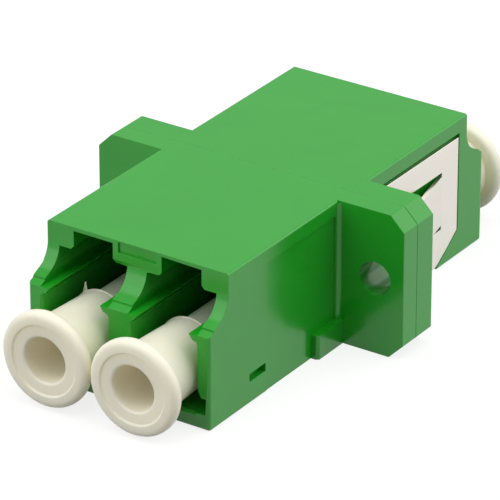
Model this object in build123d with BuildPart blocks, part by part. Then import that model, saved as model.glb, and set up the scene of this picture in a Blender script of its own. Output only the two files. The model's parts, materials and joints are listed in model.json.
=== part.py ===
from build123d import *
import math
import os

# Housing: origin at the bottom centre, ports facing -Y and +Y, weld seam at Y = 0
body_width = 12.8
body_height = 9.4
upper_reach = 13.1  # weld seam to the upper end face
nose_reach = 15.1  # weld seam to the face of the lower nose
nose_height = 6.06  # top of the nose face
scoop_radius = 1.6  # concave sweep from the upper end face down to the ledge
ledge_slope = 24.0  # degrees
ledge_front = 0.5  # depth of the first ledge, ahead of its step
ledge_step = 0.12
scoop_drop = 1.3  # top face to the start of the sweep
edge_round = 0.15
nose_round = 0.2  # upright outer edges of the nose

# Mounting flange, moulded half on each housing
flange_front_half = 1.5
flange_rear_half = 1.75
flange_chamfer = 0.95
flange_hole_diameter = 2.2
flange_hole_pitch = 18.0
flange_hole_height = 4.95
ear_margin = 2.0  # hole centre to the ear's outer edge
ear_fillet = 0.3  # where the ears meet the body
seam_chamfer = 0.04

# Ports
port_pitch = 6.25
port_height = 3.2  # axis above the bottom
cavity_width = 4.65
floor_thickness = 1.0
cavity_top = 5.55
cavity_round = 0.2
throat_width = 3.75
rail_bevel = 0.45
port_lead_in = 0.15
channel_bottom = 6.06
channel_width = 4.85
channel_top = 7.93
channel_bevel = 0.22
slot_width = 2.8
slot_top = 9.0
slot_mouth_top = 9.2
slot_mouth_depth = 1.2
latch_depth = 2.8  # thickness of the catch that holds the latch lugs
lug_pocket_top = 8.95
lug_pocket_length = 3.4
wall_at_seam = 2.0
corner_pocket_wall = 0.24
corner_pocket_top = 2.07
corner_pocket_depth = 2.3
corner_pocket_flat = 0.36
corner_pocket_bevel = 0.75

# Shallow panel between the two latch slots
panel_width = 2.7
panel_height = 0.68
panel_drop = 0.09
panel_depth = 0.12

# Outside of the front half
side_recess_reach = 9.1
side_recess_depth = 0.12
side_band = 0.95  # plain band under the top face
side_slot_start = 9.25
side_slot_length = 1.7
side_slot_thickness = 0.55
side_slot_height = 1.7
side_slot_depth = 0.45
lug_reach = 4.2  # small lugs low on the sides, ahead of the flange
lug_height = 1.6
lug_out = 0.4
lug_bevel = 0.15

# Sleeve holders and split sleeves
holder_diameter = 2.5
holder_reach = 6.3
holder_lip = 0.5
holder_mouth_chamfer = 0.12
sleeve_diameter = 1.62
sleeve_bore = 1.25
sleeve_slit = 0.25
sleeve_clearance = 0.04  # round the sleeve
sleeve_end_clearance = 0.1
ferrule_entry_diameter = 1.42

# Panel clip of sheet steel round the rear half
sheet = 0.25
clip_clearance = 0.05
clip_setback = 0.2  # rear face of the flange to the clip
clip_rear = 12.2
clip_top_gap = 0.3  # upper edge of the pocket to the clip
clip_strap_rear = 9.9
clip_corner_height = 1.85
clip_corner_mid = (11.0, 1.0)
clip_bend_radius = 0.3
panel_room = 2.15  # rear face of the flange to the ends of the tongues
tongue_root = 10.3
tongue_bottom = 2.9
tongue_top = 6.2
tongue_angle = 13.0  # outward lean of the sprung tongues
tongue_slit = 0.3
tongue_overlap = 0.6

# Dust caps
cap_out = 3.15  # nose face to the outer face of the cap's flange
cap_flange_diameter = 6.1
cap_flange_thickness = 0.95
cap_flange_chamfer = 0.25
cap_dish_diameter = 4.4
cap_dish_depth = 0.12
cap_hole_diameter = 2.92
cap_hole_depth = 4.4
cap_neck_front_diameter = 4.52
cap_neck_rear_diameter = 4.1
cap_neck_end = 6.0  # outer face of the flange to the end of the neck
cap_tube_diameter = 3.4
cap_tube_end = 13.85  # outer face of the flange to the end of the tube
cap_web = 0.8
cap_tube_clearance = 0.1  # round the sleeve holder

flange_width = flange_hole_pitch + 2 * ear_margin
clip_pocket_depth = sheet + clip_clearance
clip_front = flange_rear_half + clip_setback
tongue_end = flange_rear_half + panel_room
clip_top = body_height - side_band - clip_top_gap
cap_face = nose_reach + cap_out
sleeve_half_length = holder_reach - holder_lip - sleeve_end_clearance
port_places = [-port_pitch / 2, port_pitch / 2]


# Side view of one half: nose, stepped ledge, sweep and upper end face
def body_outline():
    turn = math.radians(90 - ledge_slope)
    rise = math.tan(math.radians(ledge_slope))
    sweep_top = body_height - scoop_drop
    sweep_centre = (-upper_reach - scoop_radius, sweep_top)
    sweep_end = (
        sweep_centre[0] + scoop_radius * math.cos(turn),
        sweep_centre[1] - scoop_radius * math.sin(turn),
    )
    step_foot = (-nose_reach + ledge_front, nose_height + ledge_front * rise)
    step_head = (step_foot[0], step_foot[1] + ledge_step)
    with BuildSketch(Plane.YZ) as outline:
        with BuildLine():
            Polyline(
                (-upper_reach, sweep_top),
                (-upper_reach, body_height),
                (0, body_height),
                (0, 0),
                (-nose_reach, 0),
                (-nose_reach, nose_height),
                step_foot,
                step_head,
                sweep_end,
            )
            CenterArc(sweep_centre, scoop_radius, 0, ledge_slope - 90)
        make_face()
    return outline.sketch


# Front view of the flange, with its two ears and their holes
def flange_outline():
    with BuildSketch(Plane.XZ) as outline:
        with Locations((0, body_height / 2)):
            Rectangle(flange_width, body_height)
        chamfer(outline.vertices(), flange_chamfer)
        with Locations(
            (-flange_hole_pitch / 2, flange_hole_height),
            (flange_hole_pitch / 2, flange_hole_height),
        ):
            Circle(flange_hole_diameter / 2, mode=Mode.SUBTRACT)
    return outline.sketch


# End view of a port: square cavity, throat between the rails and latch channel
def port_outline(face):
    throat_edge = throat_width / 2
    with BuildSketch(face) as outline:
        with Locations((0, (floor_thickness + cavity_top) / 2)):
            RectangleRounded(cavity_width, cavity_top - floor_thickness, cavity_round)
        with BuildLine():
            Polyline(
                (-throat_edge - rail_bevel, cavity_top - rail_bevel / 2),
                (-throat_edge, cavity_top + rail_bevel),
                (-throat_edge, channel_bottom + rail_bevel),
                (throat_edge, channel_bottom + rail_bevel),
                (throat_edge, cavity_top + rail_bevel),
                (throat_edge + rail_bevel, cavity_top - rail_bevel / 2),
                close=True,
            )
        make_face()
        with Locations((0, (channel_bottom + channel_top) / 2)):
            Rectangle(channel_width, channel_top - channel_bottom)
    return outline.sketch


# End view of the slot for the latch lever, bevelled where it meets the channel
def slot_outline(face):
    half = slot_width / 2
    with BuildSketch(face) as outline:
        with BuildLine():
            Polyline(
                (-half - channel_bevel, channel_top),
                (-half, channel_top + channel_bevel),
                (-half, slot_top),
                (half, slot_top),
                (half, channel_top + channel_bevel),
                (half + channel_bevel, channel_top),
                (0, channel_top - channel_bevel),
                close=True,
            )
        make_face()
    return outline.sketch


# Side view of the wedge that flares the slot's mouth upwards
def mouth_outline(place):
    with BuildSketch(Plane.YZ.offset(place)) as outline:
        with BuildLine():
            Polyline(
                (-upper_reach, slot_top),
                (-upper_reach, slot_mouth_top),
                (-upper_reach + slot_mouth_depth, slot_top),
                close=True,
            )
        make_face()
    return outline.sketch


# End view of the pocket in the lower outer corner of a port's mouth
def corner_outline(face, outward):
    corner = outward * cavity_width / 2
    inner = corner - outward * cavity_round
    outer = outward * (body_width / 2 - port_pitch / 2 - corner_pocket_wall)
    with BuildSketch(face) as outline:
        with BuildLine():
            Polyline(
                (inner, floor_thickness),
                (outer, floor_thickness),
                (outer, corner_pocket_top),
                (inner, corner_pocket_top),
                close=True,
            )
        make_face()
        with BuildLine():
            Polyline(
                (inner, corner_pocket_top),
                (outer - outward * corner_pocket_flat, corner_pocket_top),
                (corner, corner_pocket_top + corner_pocket_bevel),
                close=True,
            )
        make_face()
    return outline.sketch


# All the openings of one port
def cut_port(place):
    across = Location((place, 0, 0))
    nose_face = Plane.XZ.offset(nose_reach).move(across)
    end_face = Plane.XZ.offset(upper_reach).move(across)
    catch_face = Plane.XZ.offset(upper_reach - latch_depth).move(across)
    outward = math.copysign(1, place)
    extrude(port_outline(nose_face), amount=wall_at_seam - nose_reach, mode=Mode.SUBTRACT)
    with BuildSketch(nose_face) as lead_in:
        with Locations((0, (floor_thickness + cavity_top) / 2)):
            RectangleRounded(
                cavity_width + 2 * port_lead_in,
                cavity_top - floor_thickness + 2 * port_lead_in,
                cavity_round + port_lead_in,
            )
    extrude(lead_in.sketch, amount=-port_lead_in, taper=45, mode=Mode.SUBTRACT)
    extrude(slot_outline(end_face), amount=-latch_depth, mode=Mode.SUBTRACT)
    extrude(mouth_outline(place), amount=slot_width / 2, both=True, mode=Mode.SUBTRACT)
    corner = corner_outline(nose_face, outward)
    extrude(corner, amount=-corner_pocket_depth, mode=Mode.SUBTRACT)
    with BuildSketch(catch_face) as lug_pocket:
        with Locations((0, (channel_top + lug_pocket_top) / 2)):
            Rectangle(channel_width, lug_pocket_top - channel_top)
    extrude(lug_pocket.sketch, amount=-lug_pocket_length, mode=Mode.SUBTRACT)


# Circles of one diameter on both port axes, in the plane of the seam
def port_circles(diameter):
    with BuildSketch(Plane.XZ) as circles:
        with Locations(*[(place, port_height) for place in port_places]):
            Circle(diameter / 2)
    return circles.sketch


# Half of each sleeve holder, reaching from the middle wall into its port
def add_holders():
    extrude(port_circles(holder_diameter), amount=holder_reach)
    sleeve_room = port_circles(sleeve_diameter + 2 * sleeve_clearance)
    extrude(sleeve_room, amount=holder_reach - holder_lip, mode=Mode.SUBTRACT)
    entry = port_circles(ferrule_entry_diameter)
    extrude(entry, amount=holder_reach, mode=Mode.SUBTRACT)
    rims = edges().filter_by(lambda edge: edge.is_closed)
    chamfer(rims.group_by(Axis.Y)[0], holder_mouth_chamfer)


# Side view of the clip with its slanting lower rear corner, grown by a clearance
def clip_side_outline(top, grow):
    with BuildSketch(Plane.YZ) as outline:
        with BuildLine():
            Polyline(
                (clip_front, 0),
                (clip_front, top),
                (clip_rear, top),
                (clip_rear, clip_corner_height),
                clip_corner_mid,
                (clip_strap_rear, clip_bend_radius),
                (clip_strap_rear, 0),
                close=True,
            )
        make_face()
        if grow:
            offset(amount=grow)
    return outline.sketch


# One half of the housing, facing -Y, its ear roots rounded where a radius is given
def add_half(flange_half, root_round):
    extrude(body_outline(), amount=body_width / 2, both=True)
    long_edges = edges().filter_by(Axis.Y).group_by(Axis.X)
    fillet(long_edges[0] + long_edges[-1], radius=edge_round)
    upright_edges = edges().filter_by(Axis.Z).group_by(Axis.Y)[0]
    fillet(upright_edges, radius=nose_round)
    extrude(flange_outline(), amount=flange_half)
    for place in port_places:
        cut_port(place)
    if root_round:
        with BuildSketch(Plane.XY) as roots:
            with Locations((0, -flange_half - root_round / 2)):
                Rectangle(body_width + 2 * root_round, root_round)
            for side in (-1, 1):
                with Locations((side * (body_width / 2 + root_round), -flange_half - root_round)):
                    Circle(root_round, mode=Mode.SUBTRACT)
        extrude(roots.sketch, amount=body_height - edge_round)
    with BuildSketch(Plane.XZ.offset(upper_reach)) as panel:
        with Locations((0, body_height - panel_drop - panel_height / 2)):
            Rectangle(panel_width, panel_height)
    extrude(panel.sketch, amount=-panel_depth, mode=Mode.SUBTRACT)
    seam_face = faces().sort_by(Axis.Y)[-1]
    chamfer(seam_face.outer_wire().edges(), seam_chamfer)
    add_holders()


# Front half: the same moulding with plain sides, a shallow recess and a small slot
with BuildPart() as front_housing:
    add_half(flange_front_half, ear_fillet)
    for side in (-1, 1):
        flank = Plane.YZ.offset(side * body_width / 2)
        recess_end = flange_front_half + ear_fillet
        recess_length = side_recess_reach - recess_end
        recess_height = body_height - side_band
        with BuildSketch(flank):
            with Locations((-recess_end - recess_length / 2, recess_height / 2)):
                Rectangle(recess_length, recess_height)
        extrude(amount=-side * side_recess_depth, mode=Mode.SUBTRACT)
        with BuildSketch(flank):
            with Locations((-side_slot_start - side_slot_length / 2, side_slot_height)):
                Rectangle(side_slot_length, side_slot_thickness)
        extrude(amount=-side * side_slot_depth, mode=Mode.SUBTRACT)
        with BuildSketch(Plane.XY):
            with BuildLine():
                Polyline(
                    (side * body_width / 3, -flange_front_half),
                    (side * body_width / 3, -lug_reach),
                    (side * (body_width / 2 + lug_out - lug_bevel), -lug_reach),
                    (side * (body_width / 2 + lug_out), -lug_reach + lug_bevel),
                    (side * (body_width / 2 + lug_out), -flange_front_half),
                    close=True,
                )
            make_face()
        extrude(amount=lug_height)

# Rear half: the same moulding turned round, with the pocket that the clip lies in
with BuildPart() as rear_housing:
    add_half(flange_rear_half, 0)
    pocket_outline = clip_side_outline(body_height - side_band - clip_clearance, clip_clearance)
    pocket = mirror(pocket_outline, about=Plane.XZ, mode=Mode.PRIVATE)
    for side in (-1, 1):
        flank = pocket.moved(Location((side * body_width / 2, 0, 0)))
        extrude(flank, amount=-side * clip_pocket_depth, mode=Mode.SUBTRACT)
    with BuildSketch(Plane.XY):
        with Locations((0, -(clip_front + clip_strap_rear) / 2)):
            strap_length = clip_strap_rear - clip_front + 2 * clip_clearance
            Rectangle(body_width, strap_length)
    extrude(amount=clip_pocket_depth, mode=Mode.SUBTRACT)
    mirror(about=Plane.XZ, mode=Mode.REPLACE)

# Split sleeves
sleeves = {}
for name, place in zip(("left_sleeve", "right_sleeve"), port_places):
    with BuildPart() as sleeve:
        with BuildSketch(Plane.XZ):
            with Locations((place, port_height)):
                Circle(sleeve_diameter / 2)
                Circle(sleeve_bore / 2, mode=Mode.SUBTRACT)
            with Locations((place, port_height + sleeve_diameter / 2)):
                Rectangle(sleeve_slit, sleeve_diameter, mode=Mode.SUBTRACT)
        extrude(amount=sleeve_half_length, both=True)
    sleeves[name] = sleeve.part

# Panel clip: a strap under the housing, two side frames and two sprung tongues
with BuildPart() as panel_clip:
    half_out = body_width / 2 - clip_clearance / 2
    bottom_out = clip_clearance / 2
    with BuildSketch(Plane.XZ.offset(-clip_rear)):
        with BuildLine():
            FilletPolyline(
                (-half_out, clip_top),
                (-half_out, bottom_out),
                (half_out, bottom_out),
                (half_out, clip_top),
                radius=clip_bend_radius,
            )
            offset(amount=sheet, side=Side.LEFT)
        make_face()
    extrude(amount=clip_rear - clip_front)
    extrude(clip_side_outline(clip_top, 0), amount=body_width, both=True, mode=Mode.INTERSECT)
    with BuildSketch(Plane.YZ):
        window_length = tongue_root - clip_front
        window_height = tongue_top - tongue_bottom + 2 * tongue_slit
        with Locations((tongue_root - window_length / 2, (tongue_bottom + tongue_top) / 2)):
            Rectangle(window_length, window_height)
    extrude(amount=body_width, both=True, mode=Mode.SUBTRACT)
    tongue_out = (tongue_root - tongue_end) * math.tan(math.radians(tongue_angle))
    for side, inner_side in ((-1, Side.LEFT), (1, Side.RIGHT)):
        with BuildSketch(Plane.XY.offset(tongue_bottom)):
            with BuildLine():
                Polyline(
                    (side * half_out, tongue_root + tongue_overlap),
                    (side * half_out, tongue_root),
                    (side * (half_out + tongue_out), tongue_end),
                )
                offset(amount=sheet, side=inner_side)
            make_face()
        extrude(amount=tongue_top - tongue_bottom)

# Dust caps: flange, neck that grips the port, and a tube over the sleeve holder
caps = {}
for name, place, facing in (
    ("front_left_cap", port_places[0], -1),
    ("front_right_cap", port_places[1], -1),
    ("rear_left_cap", port_places[0], 1),
    ("rear_right_cap", port_places[1], 1),
):
    tube_bore = holder_diameter / 2 + cap_tube_clearance
    flange_radius = cap_flange_diameter / 2
    outline = [
        (cap_hole_depth, 0),
        (cap_hole_depth, cap_hole_diameter / 2),
        (cap_dish_depth, cap_hole_diameter / 2),
        (cap_dish_depth, cap_dish_diameter / 2),
        (0, cap_dish_diameter / 2),
        (0, flange_radius - cap_flange_chamfer),
        (cap_flange_chamfer, flange_radius),
        (cap_flange_thickness - cap_flange_chamfer, flange_radius),
        (cap_flange_thickness, flange_radius - cap_flange_chamfer),
        (cap_flange_thickness, cap_neck_front_diameter / 2),
        (cap_neck_end, cap_neck_rear_diameter / 2),
        (cap_neck_end, cap_tube_diameter / 2),
        (cap_tube_end, cap_tube_diameter / 2),
        (cap_tube_end, tube_bore),
        (cap_hole_depth + cap_web, tube_bore),
        (cap_hole_depth + cap_web, 0),
    ]
    outer_face = Vector(place, facing * cap_face, port_height)
    with BuildPart() as cap:
        with BuildSketch(Plane(origin=outer_face, x_dir=(0, -facing, 0), z_dir=(1, 0, 0))):
            with BuildLine():
                Polyline(*outline, close=True)
            make_face()
        revolve(axis=Axis(outer_face, (0, 1, 0)))
    caps[name] = cap.part

os.makedirs("parts", exist_ok=True)
front_housing.part.label = "front_housing"
export_step(front_housing.part, "parts/front_housing.step")
rear_housing.part.label = "rear_housing"
export_step(rear_housing.part, "parts/rear_housing.step")
panel_clip.part.label = "panel_clip"
export_step(panel_clip.part, "parts/panel_clip.step")
for name, piece in (sleeves | caps).items():
    piece.label = name
    export_step(piece, f"parts/{name}.step")
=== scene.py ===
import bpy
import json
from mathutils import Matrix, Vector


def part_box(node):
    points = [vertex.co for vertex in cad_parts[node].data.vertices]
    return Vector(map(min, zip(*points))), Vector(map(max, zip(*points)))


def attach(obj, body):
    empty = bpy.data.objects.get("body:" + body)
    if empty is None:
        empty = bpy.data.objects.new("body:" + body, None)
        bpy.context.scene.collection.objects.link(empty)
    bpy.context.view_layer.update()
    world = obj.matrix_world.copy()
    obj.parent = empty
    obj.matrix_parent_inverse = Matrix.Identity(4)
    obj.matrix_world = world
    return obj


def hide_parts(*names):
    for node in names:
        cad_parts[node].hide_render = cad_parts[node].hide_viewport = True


bl_info = {
    "name": "Duplex Fibre Adapter",
    "version": (1, 0, 0),
    "blender": (4, 5, 0),
    "location": "View3D > Sidebar > Adapter",
    "description": "Finishes a duplex fibre adapter: housing, spring clip, sleeves and dust caps",
    "category": "Object",
}

import json
import math

import bmesh
import bpy
from mathutils import Matrix, Vector

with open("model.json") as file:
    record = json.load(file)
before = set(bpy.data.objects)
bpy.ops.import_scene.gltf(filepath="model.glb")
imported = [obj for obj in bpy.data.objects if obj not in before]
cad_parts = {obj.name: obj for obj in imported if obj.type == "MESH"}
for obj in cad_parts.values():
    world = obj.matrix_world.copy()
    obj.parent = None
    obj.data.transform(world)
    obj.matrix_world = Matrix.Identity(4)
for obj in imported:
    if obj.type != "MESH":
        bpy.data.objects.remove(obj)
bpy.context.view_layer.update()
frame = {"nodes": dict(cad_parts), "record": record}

HALVES = (("front_housing", -1), ("rear_housing", 1))  # node, and which way along Y its ports face
CAPS = ("front_left_cap", "front_right_cap", "rear_left_cap", "rear_right_cap")
SLEEVES = ("left_sleeve", "right_sleeve")
SKIN = "Moulded skin"
GRAIN = "Rolled grain"

# Merging and rounding
MERGE_GAP = 1e-6  # metres
FLAT_ANGLE = math.radians(1)
SHARP_ANGLE = math.radians(30)
EDGE_LENGTH = 2  # shortest edge that is rounded, in radii
EDGE_ROOM = 4  # shortest neighbour of a rounded edge, in radii
EDGE_SEGMENTS = 2

# Latch slots of the housing, and the cutter that opens their feet, in metres
PORT_PITCH = 0.00625
END_REACH = 0.0131  # seam to the upper end face, where the slots start
SLOT_WIDTH = 0.0028
SLOT_FOOT = 0.00793  # height at which a slot opens into its channel
SLOT_BEVEL = 0.00022
CUT_MARGIN = 0.000002
CUT_DEPTH = 0.0001

# Dust caps: distance behind the outer face, distance from the axis and rounding of each corner, in mm
CAP_CORNERS = (
    (4.4, 0.0, ""),
    (4.4, 1.46, "lip"),
    (0.12, 1.46, "lip"),
    (0.12, 2.2, ""),
    (0.0, 2.3, ""),
    (0.0, 3.05, "rim"),
    (0.95, 3.05, "rim"),
    (0.95, 2.26, ""),
    (5.9, 2.05, ""),
    (5.94, 2.12, ""),
    (6.0, 2.12, ""),
    (6.0, 1.7, ""),
    (13.85, 1.7, "lip"),
    (13.85, 1.35, ""),
    (5.2, 1.35, ""),
    (5.2, 0.0, ""),
)
MM = 0.001
CAP_STEPS = 96
RING_GAP = MERGE_GAP * 5
RING_SEGMENTS = 5

# Spike of flash on the rim at one cap's neck end, in metres
FLASH_CAP = "front_left_cap"
FLASH_SPOT = Vector((-0.00431, -0.01228, 0.00496))
FLASH_REACH = 0.0002
FLASH_SLOPE = 0.1  # how far the normal of a face on the rim's edge may turn along the axis
FLASH_PULLS = ((0.0003, 0.55), (0.0003, 0.45))  # height and remaining width of each pull

# Stage, with lengths in metres
TABLE_WIDTH = 4.0
TABLE_DROP = 0.00002  # the table lies this far below the object, so that no faces share a plane
TABLE_GLOW = 0.8
ROOM_LIGHT = 0.3  # the room as the object's light, and as its background
ROOM_SEEN = 1.0
SOFT_BOXES = (  # name, place, width and the setting with its power
    ("Left soft box", (-0.35, -0.45, 0.4), 0.9, "left_power"),
    ("Right soft box", (0.4155, 0.278, 0.3), 0.9, "right_power"),
    ("Top soft box", (0, 0, 0.8), 0.8, "top_power"),
)
SENSOR_WIDTH = 36.0  # mm, as the lens is
AIM_LEFT = 0.00074  # from the middle of the object to the point that the camera looks at
AIM_BELOW = 0.00088
CLIP_START = 0.01
CLIP_END = 20.0


# Sizes and colours that a user would change

class HousingSettings(bpy.types.PropertyGroup):
    colour: bpy.props.FloatVectorProperty(
        name="Colour",
        description="Pigment of the moulded plastic",
        default=(0.012, 0.335, 0.014),
        subtype="COLOR",
    )
    roughness: bpy.props.FloatProperty(
        name="Roughness",
        description="Roughness of the moulded faces",
        default=0.18,
        min=0.0,
        max=1.0,
        subtype="FACTOR",
    )
    edge_round: bpy.props.FloatProperty(
        name="Edge round",
        description="Radius left on the edges by the mould",
        default=0.00005,
        unit="LENGTH",
        subtype="DISTANCE",
    )


class ClipSettings(bpy.types.PropertyGroup):
    colour: bpy.props.FloatVectorProperty(
        name="Colour",
        description="Colour of the rolled spring steel",
        default=(0.72, 0.69, 0.63),
        subtype="COLOR",
    )
    roughness: bpy.props.FloatProperty(
        name="Roughness",
        description="Roughness of the rolled sheet",
        default=0.3,
        min=0.0,
        max=1.0,
        subtype="FACTOR",
    )
    edge_round: bpy.props.FloatProperty(
        name="Edge round",
        description="Radius of the stamped edges",
        default=0.00003,
        unit="LENGTH",
        subtype="DISTANCE",
    )


class SleeveSettings(bpy.types.PropertyGroup):
    colour: bpy.props.FloatVectorProperty(
        name="Colour",
        description="Colour of the ground ceramic",
        default=(0.86, 0.85, 0.8),
        subtype="COLOR",
    )
    edge_round: bpy.props.FloatProperty(
        name="Edge round",
        description="Radius of the ground edges",
        default=0.00003,
        unit="LENGTH",
        subtype="DISTANCE",
    )


class CapSettings(bpy.types.PropertyGroup):
    colour: bpy.props.FloatVectorProperty(
        name="Colour",
        description="Colour of the soft plastic",
        default=(0.97, 0.9, 0.73),
        subtype="COLOR",
    )
    glow: bpy.props.FloatProperty(
        name="Glow",
        description="How far light spreads inside the plastic",
        default=0.001,
        unit="LENGTH",
        subtype="DISTANCE",
    )
    rim_round: bpy.props.FloatProperty(
        name="Rim round",
        description="Radius of the flange's outer edges",
        default=0.0004,
        unit="LENGTH",
        subtype="DISTANCE",
    )
    lip_round: bpy.props.FloatProperty(
        name="Lip round",
        description="Radius of the hole's lip and of the ends",
        default=0.00015,
        unit="LENGTH",
        subtype="DISTANCE",
    )


class StageSettings(bpy.types.PropertyGroup):
    floor_colour: bpy.props.FloatVectorProperty(
        name="Floor colour",
        description="Colour of the table",
        default=(0.25, 0.25, 0.25),
        subtype="COLOR",
    )
    left_power: bpy.props.FloatProperty(
        name="Left power",
        description="Power of the soft box to the left of the camera",
        default=3.56,
        min=0.0,
        unit="POWER",
    )
    right_power: bpy.props.FloatProperty(
        name="Right power",
        description="Power of the soft box to the right of the camera",
        default=3.31,
        min=0.0,
        unit="POWER",
    )
    top_power: bpy.props.FloatProperty(
        name="Top power",
        description="Power of the soft box above the object",
        default=2.81,
        min=0.0,
        unit="POWER",
    )
    azimuth: bpy.props.FloatProperty(
        name="Azimuth",
        description="Direction of the camera round the object",
        default=math.radians(33.785),
        subtype="ANGLE",
        unit="ROTATION",
    )
    elevation: bpy.props.FloatProperty(
        name="Elevation",
        description="Height of the camera above the horizon",
        default=math.radians(26.612),
        subtype="ANGLE",
        unit="ROTATION",
    )
    distance: bpy.props.FloatProperty(
        name="Distance",
        description="Camera to the middle of the object",
        default=0.27466,
        unit="LENGTH",
        subtype="DISTANCE",
    )
    lens: bpy.props.FloatProperty(
        name="Lens",
        description="Focal length on a 36 mm wide frame",
        default=327.09,
        unit="CAMERA",
    )


# Small helpers for modelling

def deselect_all():
    if bpy.context.object and bpy.context.object.mode != "OBJECT":
        bpy.ops.object.mode_set(mode="OBJECT")
    bpy.ops.object.select_all(action="DESELECT")


def make_active(piece):
    deselect_all()
    piece.select_set(True)
    bpy.context.view_layer.objects.active = piece


def enter_edit(piece, mode="VERT"):
    make_active(piece)
    bpy.ops.object.mode_set(mode="EDIT")
    bpy.ops.mesh.select_mode(type=mode)


def leave_edit():
    bpy.ops.object.mode_set(mode="OBJECT")


def select_where(piece, kind, test):
    """Selects the verts, edges or faces of the edited mesh that pass a test, and says how many."""
    bpy.ops.mesh.select_all(action="DESELECT")
    mesh = bmesh.from_edit_mesh(piece.data)
    chosen = [item for item in getattr(mesh, kind) if test(item)]
    for item in chosen:
        item.select_set(True)
    bmesh.update_edit_mesh(piece.data)
    return len(chosen)


def apply_modifier(piece, kind, **values):
    """Adds a modifier with its values and applies it."""
    make_active(piece)
    modifier = piece.modifiers.new(kind.title(), kind)
    for name, value in values.items():
        setattr(modifier, name, value)
    bpy.ops.object.modifier_apply(modifier=modifier.name)


def join_faces(piece, gap):
    """Merges points that lie close together, and the flat faces between them."""
    enter_edit(piece)
    bpy.ops.mesh.select_all(action="SELECT")
    bpy.ops.mesh.remove_doubles(threshold=gap)
    bpy.ops.mesh.dissolve_limited(angle_limit=FLAT_ANGLE, delimit={"NORMAL"})
    leave_edit()


def copy_of_node(node, name):
    """A piece of its own with the shape of a CAD node, its loose triangles merged into faces."""
    piece = bpy.data.objects.new(name, frame["nodes"][node].data.copy())
    bpy.context.scene.collection.objects.link(piece)
    piece.data.materials.clear()
    enter_edit(piece)
    bpy.ops.mesh.customdata_custom_splitnormals_clear()
    leave_edit()
    join_faces(piece, MERGE_GAP)
    return piece


def has_room(edge, radius):
    """Tells whether an outer edge is sharp, and long enough with its neighbours to be rounded."""
    sharp = edge.is_convex and edge.calc_face_angle(0) >= SHARP_ANGLE
    return sharp and edge.calc_length() >= EDGE_LENGTH * radius and all(
        beside.edge.calc_length() > EDGE_ROOM * radius
        for loop in edge.link_loops
        for beside in (loop.link_loop_prev, loop.link_loop_next)
    )


def round_edges(piece, radius):
    """Rounds the sharp edges a little, as a mould or a press leaves them."""
    enter_edit(piece, "EDGE")
    select_where(piece, "edges", lambda edge: has_room(edge, radius))
    bpy.ops.transform.edge_bevelweight(value=1.0)
    leave_edit()
    apply_modifier(
        piece,
        "BEVEL",
        width=radius,
        offset_type="ABSOLUTE",
        segments=EDGE_SEGMENTS,
        limit_method="WEIGHT",
        use_clamp_overlap=False,
        harden_normals=True,
        miter_outer="MITER_ARC",
    )


def body_of(node):
    bodies = frame["record"]["behaviour"]["bodies"]
    return next(name for name, nodes in bodies.items() if node in nodes)


def dress(piece, node, material):
    """Gives the piece its material and puts it in the place of its CAD node."""
    piece.data.materials.append(material)
    body = body_of(node)
    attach(piece, body)
    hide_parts(node)


# Materials

class Nodes:
    """A node tree that is filled by short calls."""

    def __init__(self, tree):
        self.tree = tree
        self.tree.nodes.clear()

    def add(self, kind, inputs=None, **values):
        node = self.tree.nodes.new(kind)
        for name, value in values.items():
            setattr(node, name, value)
        for name, value in (inputs or {}).items():
            if isinstance(value, bpy.types.NodeSocket):
                self.tree.links.new(value, node.inputs[name])
            else:
                node.inputs[name].default_value = value
        return node


def new_material(name):
    material = bpy.data.materials.new(name)
    material.use_nodes = True
    return material, Nodes(material.node_tree)


def new_group(name, inputs, outputs):
    group = bpy.data.node_groups.new(name, "ShaderNodeTree")
    for label, kind, default in inputs:
        socket = group.interface.new_socket(name=label, in_out="INPUT", socket_type=kind)
        if default is not None:
            socket.default_value = default
    for label, kind in outputs:
        group.interface.new_socket(name=label, in_out="OUTPUT", socket_type=kind)
    return group, Nodes(group)


def build_skin():
    """The faint unevenness of a moulded face: an orange peel, and slow changes of gloss and shade."""
    group, nodes = new_group(
        SKIN,
        [
            ("Vector", "NodeSocketVector", None),
            ("Peel size", "NodeSocketFloat", 2500.0),
            ("Flow size", "NodeSocketFloat", 300.0),
        ],
        [("Height", "NodeSocketFloat"), ("Flow", "NodeSocketFloat")],
    )
    entry = nodes.add("NodeGroupInput")
    peel = nodes.add(
        "ShaderNodeTexNoise",
        {"Vector": entry.outputs["Vector"], "Scale": entry.outputs["Peel size"], "Detail": 3.0},
    )
    flow = nodes.add(
        "ShaderNodeTexNoise",
        {
            "Vector": entry.outputs["Vector"],
            "Scale": entry.outputs["Flow size"],
            "Detail": 2.0,
            "Distortion": 0.6,
        },
    )
    nodes.add("NodeGroupOutput", {"Height": peel.outputs["Fac"], "Flow": flow.outputs["Fac"]})
    return group


def build_grain():
    """Straight fine lines along one direction, as rolling or grinding leaves them."""
    group, nodes = new_group(
        GRAIN,
        [
            ("Vector", "NodeSocketVector", None),
            ("Line size", "NodeSocketFloat", 900.0),
            ("Stretch", "NodeSocketVector", (1.0, 0.03, 1.0)),
        ],
        [("Height", "NodeSocketFloat"), ("Streaks", "NodeSocketFloat")],
    )
    entry = nodes.add("NodeGroupInput")
    along = nodes.add(
        "ShaderNodeVectorMath",
        {0: entry.outputs["Vector"], 1: entry.outputs["Stretch"]},
        operation="MULTIPLY",
    )
    fine = nodes.add(
        "ShaderNodeTexNoise",
        {
            "Vector": along.outputs["Vector"],
            "Scale": entry.outputs["Line size"],
            "Detail": 6.0,
            "Roughness": 0.7,
        },
    )
    broad = nodes.add(
        "ShaderNodeTexNoise",
        {"Vector": along.outputs["Vector"], "Scale": 150.0, "Detail": 2.0},
    )
    nodes.add("NodeGroupOutput", {"Height": fine.outputs["Fac"], "Streaks": broad.outputs["Fac"]})
    return group


BUILDERS = {SKIN: build_skin, GRAIN: build_grain}


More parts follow.
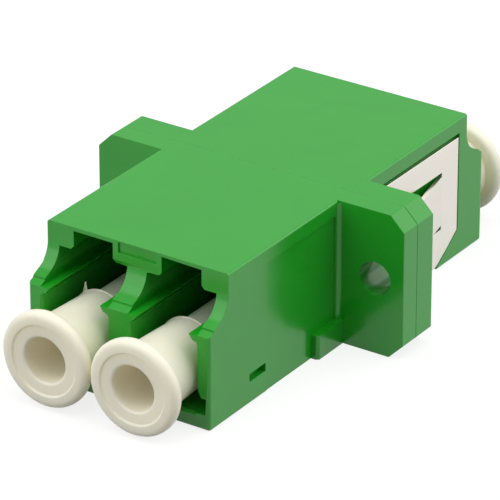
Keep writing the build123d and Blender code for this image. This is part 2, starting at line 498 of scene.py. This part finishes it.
def place_group(nodes, name, **inputs):
    """Places a shared group on Object coordinates, built on first use, and gives its outputs."""
    place = nodes.add("ShaderNodeTexCoord").outputs["Object"]
    group = bpy.data.node_groups.get(name) or BUILDERS[name]()
    values = {label.replace("_", " "): value for label, value in inputs.items()}
    return nodes.add("ShaderNodeGroup", {"Vector": place, **values}, node_tree=group).outputs


def shade_between(nodes, mask, colour, darker, lighter):
    """The colour, a little darker where the mask is low and lighter where it is high."""
    mix = nodes.add(
        "ShaderNodeMix",
        {
            "Factor": mask,
            "A": (*(channel * darker for channel in colour), 1.0),
            "B": (*(min(channel * lighter, 1.0) for channel in colour), 1.0),
        },
        data_type="RGBA",
    )
    return mix.outputs["Result"]


def gloss_between(nodes, mask, low, high):
    """The roughness, from its value where the mask is low to its value where it is high."""
    level = nodes.add("ShaderNodeMapRange", {"Value": mask, "To Min": low, "To Max": high})
    return level.outputs["Result"]


def relief(nodes, height, strength, depth):
    """The normal of a surface that is uneven by this depth."""
    bump = nodes.add("ShaderNodeBump", {"Height": height, "Strength": strength, "Distance": depth})
    return bump.outputs["Normal"]


def finish_material(nodes, inputs):
    """Ends a material in one shader with these inputs."""
    shader = nodes.add("ShaderNodeBsdfPrincipled", inputs)
    nodes.add("ShaderNodeOutputMaterial", {"Surface": shader.outputs["BSDF"]})


def plastic_material(settings):
    material, nodes = new_material("Moulded plastic")
    face = place_group(nodes, SKIN, Peel_size=2600.0, Flow_size=260.0)
    smooth, rough = settings.roughness - 0.05, settings.roughness + 0.07
    finish_material(nodes, {
        "Base Color": shade_between(nodes, face["Flow"], settings.colour, 0.94, 1.06),
        "Roughness": gloss_between(nodes, face["Flow"], smooth, rough),
        "Normal": relief(nodes, face["Height"], 0.12, 0.00001),
        "IOR": 1.5,
    })
    return material


def steel_material(settings):
    material, nodes = new_material("Rolled spring steel")
    lines = place_group(nodes, GRAIN, Line_size=9000.0, Stretch=(1.0, 0.03, 1.0))
    smooth, rough = settings.roughness - 0.08, settings.roughness + 0.12
    finish_material(nodes, {
        "Base Color": shade_between(nodes, lines["Streaks"], settings.colour, 0.9, 1.08),
        "Metallic": 1.0,
        "Roughness": gloss_between(nodes, lines["Height"], smooth, rough),
        "Normal": relief(nodes, lines["Height"], 0.15, 0.00001),
    })
    return material


def ceramic_material(settings):
    material, nodes = new_material("Ground ceramic")
    lines = place_group(nodes, GRAIN, Line_size=12000.0, Stretch=(0.05, 1.0, 0.05))
    finish_material(nodes, {
        "Base Color": shade_between(nodes, lines["Streaks"], settings.colour, 0.95, 1.03),
        "Roughness": 0.16,
        "IOR": 2.1,
        "Normal": relief(nodes, lines["Height"], 0.08, 0.000005),
    })
    return material


def soft_plastic_material(settings):
    material, nodes = new_material("Soft translucent plastic")
    face = place_group(nodes, SKIN, Peel_size=1500.0, Flow_size=420.0)
    finish_material(nodes, {
        "Base Color": shade_between(nodes, face["Flow"], settings.colour, 0.97, 1.03),
        "Roughness": gloss_between(nodes, face["Flow"], 0.32, 0.48),
        "Normal": relief(nodes, face["Height"], 0.2, 0.00001),
        "IOR": 1.48,
        "Subsurface Weight": 0.5,
        "Subsurface Radius": (1.0, 0.9, 0.7),
        "Subsurface Scale": settings.glow,
    })
    return material


# Pieces

def open_slot_feet(piece, facing):
    """Clears the film that would be left across the foot of each latch slot."""
    height = SLOT_BEVEL + CUT_DEPTH / 2
    top = SLOT_FOOT + SLOT_BEVEL
    width = SLOT_WIDTH + 2 * CUT_MARGIN
    for place in (-PORT_PITCH / 2, PORT_PITCH / 2):
        deselect_all()
        bpy.ops.mesh.primitive_cube_add(
            size=1.0,
            location=(place, facing * END_REACH, top - height / 2),
            scale=(width, CUT_DEPTH, height),
        )
        cutter = bpy.context.object
        bpy.ops.object.transform_apply(location=True, rotation=False, scale=True)
        enter_edit(cutter)
        select_where(cutter, "verts", lambda vert: vert.co.z < SLOT_FOOT)
        flare = 1 + 2 * height / width
        bpy.ops.transform.resize(value=(flare, 1, 1), center_override=(place, 0, 0))
        leave_edit()
        apply_modifier(piece, "BOOLEAN", object=cutter, operation="DIFFERENCE", solver="EXACT")
        bpy.data.objects.remove(cutter)
    join_faces(piece, 2 * CUT_MARGIN)


class ADAPTER_OT_housing(bpy.types.Operator):
    """Makes the two moulded halves of the housing, with their edges rounded as moulded"""

    bl_idname = "adapter.housing"
    bl_label = "Housing"

    def execute(self, context):
        settings = context.scene.adapter_housing
        plastic = plastic_material(settings)
        for node, facing in HALVES:
            piece = copy_of_node(node, f"moulded_{node}")
            open_slot_feet(piece, facing)
            round_edges(piece, settings.edge_round)
            dress(piece, node, plastic)
        return {"FINISHED"}


class ADAPTER_OT_clip(bpy.types.Operator):
    """Makes the folded spring clip with its sprung tongues"""

    bl_idname = "adapter.clip"
    bl_label = "Panel clip"

    def execute(self, context):
        settings = context.scene.adapter_clip
        piece = copy_of_node("panel_clip", "folded_panel_clip")
        round_edges(piece, settings.edge_round)
        dress(piece, "panel_clip", steel_material(settings))
        return {"FINISHED"}


class ADAPTER_OT_sleeves(bpy.types.Operator):
    """Makes the two split ceramic sleeves that line up the ferrules"""

    bl_idname = "adapter.sleeves"
    bl_label = "Alignment sleeves"

    def execute(self, context):
        settings = context.scene.adapter_sleeves
        ceramic = ceramic_material(settings)
        for node in SLEEVES:
            piece = copy_of_node(node, f"split_{node}")
            round_edges(piece, settings.edge_round)
            dress(piece, node, ceramic)
        return {"FINISHED"}


def draw_section(points, name):
    """Starts a piece as a single point and extrudes it from corner to corner."""
    deselect_all()
    bpy.ops.mesh.primitive_plane_add(size=MM, location=(0, 0, 0))
    piece = bpy.context.object
    piece.name = name
    enter_edit(piece)
    bpy.ops.mesh.select_all(action="SELECT")
    bpy.ops.mesh.merge(type="CENTER")
    bpy.ops.transform.translate(value=points[0])
    for start, end in zip(points, points[1:]):
        bpy.ops.mesh.extrude_region_move(TRANSFORM_OT_translate={"value": end - start})
    return piece


def spin_section(axis):
    """Spins the section that is being edited once round, and closes the shell."""
    bpy.ops.mesh.select_all(action="SELECT")
    bpy.ops.mesh.spin(steps=CAP_STEPS, angle=math.tau, center=axis, axis=(0, 1, 0))
    bpy.ops.mesh.select_all(action="SELECT")
    bpy.ops.mesh.remove_doubles(threshold=MERGE_GAP)
    bpy.ops.mesh.normals_make_consistent(inside=False)


def round_ring(piece, centre, out, radius):
    """Rounds the ring of edges that lies round a centre, at a distance from it."""

    def on_ring(vert):
        across = math.hypot(vert.co.x - centre.x, vert.co.z - centre.z)
        return abs(vert.co.y - centre.y) < RING_GAP and abs(across - out) < RING_GAP

    if select_where(piece, "edges", lambda edge: all(map(on_ring, edge.verts))) < CAP_STEPS:
        raise RuntimeError(f"{piece.name} has no ring of radius {out} at {centre.y}")
    bpy.ops.mesh.bevel(offset=radius, segments=RING_SEGMENTS, affect="EDGES")


def lathe_cap(node, name, settings):
    """Draws a cap's section, spins it round the port's axis and rounds its edges."""
    low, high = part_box(node)
    facing = -1 if low.y < -high.y else 1
    face = low.y if facing < 0 else high.y
    axis = Vector(((low.x + high.x) / 2, face, (low.z + high.z) / 2))
    points = [
        axis + Vector((out * MM, -facing * along * MM, 0)) for along, out, _ in CAP_CORNERS
    ]
    piece = draw_section(points, name)
    spin_section(axis)
    radii = {"rim": settings.rim_round, "lip": settings.lip_round}
    for along, out, kind in CAP_CORNERS:
        if kind:
            centre = axis - Vector((0, facing * along * MM, 0))
            round_ring(piece, centre, out * MM, radii[kind])
    bpy.ops.mesh.select_all(action="SELECT")
    bpy.ops.mesh.remove_doubles(threshold=MERGE_GAP)
    leave_edit()
    bpy.ops.object.shade_smooth_by_angle(angle=SHARP_ANGLE)
    return piece


def at_flash(face):
    """Tells whether a face lies on the rim's edge where the flash stands."""
    beside = (face.calc_center_median() - FLASH_SPOT).length < FLASH_REACH
    return beside and abs(face.normal.y) < FLASH_SLOPE


def pull_flash(piece):
    """Draws the thin spike of flash that one cap has on the rim at its neck's end."""
    enter_edit(piece, "FACE")
    select_where(piece, "faces", at_flash)
    top = FLASH_SPOT.copy()
    for rise, shrink in FLASH_PULLS:
        bpy.ops.mesh.extrude_region_move(TRANSFORM_OT_translate={"value": (0, 0, rise)})
        top.z += rise
        bpy.ops.transform.resize(value=(shrink, shrink, shrink), center_override=top)
    leave_edit()


class ADAPTER_OT_caps(bpy.types.Operator):
    """Makes the four soft dust caps"""

    bl_idname = "adapter.caps"
    bl_label = "Dust caps"

    def execute(self, context):
        settings = context.scene.adapter_caps
        plastic = soft_plastic_material(settings)
        for node in CAPS:
            piece = lathe_cap(node, f"soft_{node}", settings)
            if node == FLASH_CAP:
                pull_flash(piece)
            dress(piece, node, plastic)
        return {"FINISHED"}


# Stage

def seen_rays(nodes):
    """A mask for the rays that show the background, whether directly, in a gloss or through glass."""
    rays = nodes.add("ShaderNodeLightPath").outputs
    mask = rays["Is Camera Ray"]
    for kind in ("Is Glossy Ray", "Is Transmission Ray"):
        either = nodes.add("ShaderNodeMath", {0: mask, 1: rays[kind]}, operation="MAXIMUM")
        mask = either.outputs["Value"]
    return mask


def add_floor(settings):
    """Lays the table, which looks white and throws little light on the object."""
    deselect_all()
    bpy.ops.mesh.primitive_plane_add(size=TABLE_WIDTH, location=(0, 0, -TABLE_DROP))
    floor = bpy.context.object
    floor.name = "table"
    material, nodes = new_material("Plain table")
    matt = nodes.add("ShaderNodeBsdfDiffuse", {"Color": (*settings.floor_colour, 1.0)})
    lift = nodes.add("ShaderNodeEmission", {"Color": (TABLE_GLOW, TABLE_GLOW, TABLE_GLOW, 1.0)})
    dark = nodes.add("ShaderNodeEmission", {"Strength": 0.0})
    glow = nodes.add(
        "ShaderNodeMixShader",
        {0: seen_rays(nodes), 1: dark.outputs["Emission"], 2: lift.outputs["Emission"]},
    )
    both = nodes.add("ShaderNodeAddShader", {0: matt.outputs["BSDF"], 1: glow.outputs["Shader"]})
    nodes.add("ShaderNodeOutputMaterial", {"Surface": both.outputs["Shader"]})
    floor.data.materials.append(material)


def add_world():
    """Makes the white room, which looks brighter than the light it gives."""
    world = bpy.data.worlds.new("White room")
    world.use_nodes = True
    bpy.context.scene.world = world
    nodes = Nodes(world.node_tree)
    level = nodes.add(
        "ShaderNodeMapRange",
        {"Value": seen_rays(nodes), "To Min": ROOM_LIGHT, "To Max": ROOM_SEEN},
    )
    room = nodes.add("ShaderNodeBackground", {"Strength": level.outputs["Result"]})
    nodes.add("ShaderNodeOutputWorld", {"Surface": room.outputs["Background"]})


def add_soft_box(name, place, size, power):
    """Hangs a square lamp that faces the object."""
    lamp = bpy.data.lights.new(name, "AREA")
    lamp.shape = "SQUARE"
    lamp.size = size
    lamp.energy = power
    holder = bpy.data.objects.new(name, lamp)
    holder.location = place
    holder.rotation_euler = Vector(place).to_track_quat("Z", "Y").to_euler()
    bpy.context.scene.collection.objects.link(holder)


def add_camera(settings):
    """Places the camera round the object and aims it near the middle, as the photograph is framed."""
    turn, rise = settings.azimuth, settings.elevation
    back = Vector((
        math.sin(turn) * math.cos(rise),
        -math.cos(turn) * math.cos(rise),
        math.sin(rise),
    ))
    right = Vector((math.cos(turn), math.sin(turn), 0))
    up = back.cross(right)
    middle = Vector((0, 0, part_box("front_housing")[1].z / 2))
    aim = middle - AIM_LEFT * right - AIM_BELOW * up
    camera = bpy.data.cameras.new("Camera")
    camera.sensor_fit = "HORIZONTAL"
    camera.sensor_width = SENSOR_WIDTH
    camera.lens = settings.lens
    camera.clip_start = CLIP_START
    camera.clip_end = CLIP_END
    holder = bpy.data.objects.new("Camera", camera)
    turned = Matrix((right, up, back)).transposed().to_4x4()
    holder.matrix_world = Matrix.Translation(aim + back * settings.distance) @ turned
    bpy.context.scene.collection.objects.link(holder)
    bpy.context.scene.camera = holder


class ADAPTER_OT_stage(bpy.types.Operator):
    """Sets the table, the white room, the three soft boxes and the camera"""

    bl_idname = "adapter.stage"
    bl_label = "Stage"

    def execute(self, context):
        settings = context.scene.adapter_stage
        add_floor(settings)
        add_world()
        for name, place, size, power in SOFT_BOXES:
            add_soft_box(name, place, size, getattr(settings, power))
        add_camera(settings)
        context.scene.view_settings.view_transform = "Standard"
        return {"FINISHED"}


class ADAPTER_PT_panel(bpy.types.Panel):
    """Lists the pieces of the adapter with their settings"""

    bl_label = "Duplex fibre adapter"
    bl_space_type = "VIEW_3D"
    bl_region_type = "UI"
    bl_category = "Adapter"

    def draw(self, context):
        for operator, settings in STEPS:
            box = self.layout.box()
            box.operator(operator.bl_idname)
            group = getattr(context.scene, settings)
            for name in group.__annotations__:
                box.prop(group, name)


SETTINGS = {
    "adapter_housing": HousingSettings,
    "adapter_clip": ClipSettings,
    "adapter_sleeves": SleeveSettings,
    "adapter_caps": CapSettings,
    "adapter_stage": StageSettings,
}
STEPS = (
    (ADAPTER_OT_housing, "adapter_housing"),
    (ADAPTER_OT_clip, "adapter_clip"),
    (ADAPTER_OT_sleeves, "adapter_sleeves"),
    (ADAPTER_OT_caps, "adapter_caps"),
    (ADAPTER_OT_stage, "adapter_stage"),
)


def register():
    for name, group in SETTINGS.items():
        bpy.utils.register_class(group)
        setattr(bpy.types.Scene, name, bpy.props.PointerProperty(type=group))
    for operator, _ in STEPS:
        bpy.utils.register_class(operator)
    bpy.utils.register_class(ADAPTER_PT_panel)


def unregister():
    bpy.utils.unregister_class(ADAPTER_PT_panel)
    for operator, _ in reversed(STEPS):
        bpy.utils.unregister_class(operator)
    for name, group in reversed(SETTINGS.items()):
        delattr(bpy.types.Scene, name)
        bpy.utils.unregister_class(group)


def main():
    register()
    bpy.ops.adapter.housing()
    bpy.ops.adapter.clip()
    bpy.ops.adapter.sleeves()
    bpy.ops.adapter.caps()
    bpy.ops.adapter.stage()


if __name__ == "__main__":
    main()
